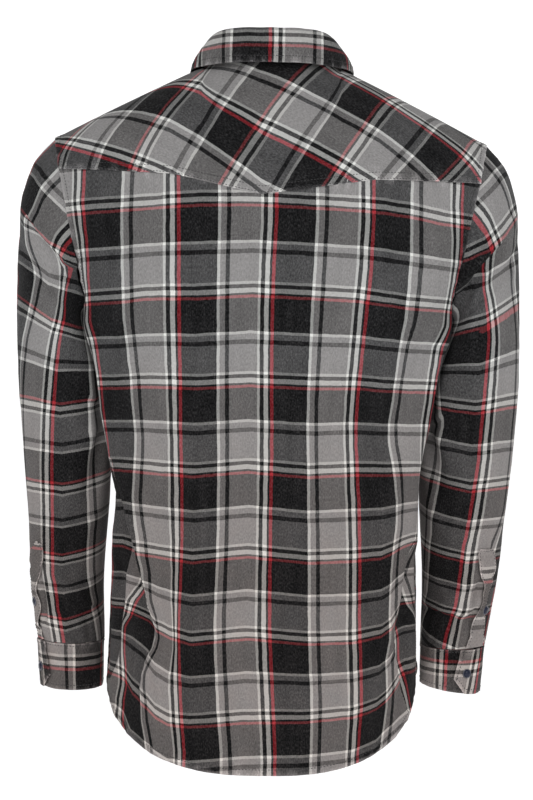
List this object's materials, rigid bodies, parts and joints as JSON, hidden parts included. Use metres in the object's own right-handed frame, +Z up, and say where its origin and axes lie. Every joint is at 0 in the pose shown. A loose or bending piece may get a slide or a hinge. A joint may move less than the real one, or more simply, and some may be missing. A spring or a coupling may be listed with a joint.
{
  "type": "western snap shirt",
  "caption": "Long-sleeved western shirt in soft plaid flannel with a pointed bias back yoke, barrel cuffs and dark snaps, filled out as worn.",
  "frame": {"origin": "between the shoulders at the base of the neck, where the wearer's shoulders hold the shirt up", "axes": "+Z up; the front faces -Y and the back +Y; +X is the wearer's left"},
  "size_m": [0.5563, 0.2506, 0.8013],
  "materials": {
    "plaid_flannel": "washed cotton flannel, woven plaid of black, grey, white and red, soft nap",
    "snap_cap": "glossy black pearl cap in a thin metal ring"
  },
  "bodies": {
    "root": {"yoke": "plaid_flannel", "back": "plaid_flannel", "front_left": "plaid_flannel", "front_right": "plaid_flannel", "front_band": "plaid_flannel", "collar_stand": "plaid_flannel", "collar_fall": "plaid_flannel", "sleeve_left": "plaid_flannel", "sleeve_right": "plaid_flannel", "cuff_left": "plaid_flannel", "cuff_right": "plaid_flannel", "sleeve_band_left": "plaid_flannel", "sleeve_band_right": "plaid_flannel", "snap_collar": "snap_cap", "snap_front_1": "snap_cap", "snap_front_2": "snap_cap", "snap_front_3": "snap_cap", "snap_front_4": "snap_cap", "snap_front_5": "snap_cap", "snap_front_6": "snap_cap", "snap_sleeve_left": "snap_cap", "snap_sleeve_right": "snap_cap", "snap_cuff_left": "snap_cap", "snap_cuff_right": "snap_cap"}
  },
  "joints": []
}
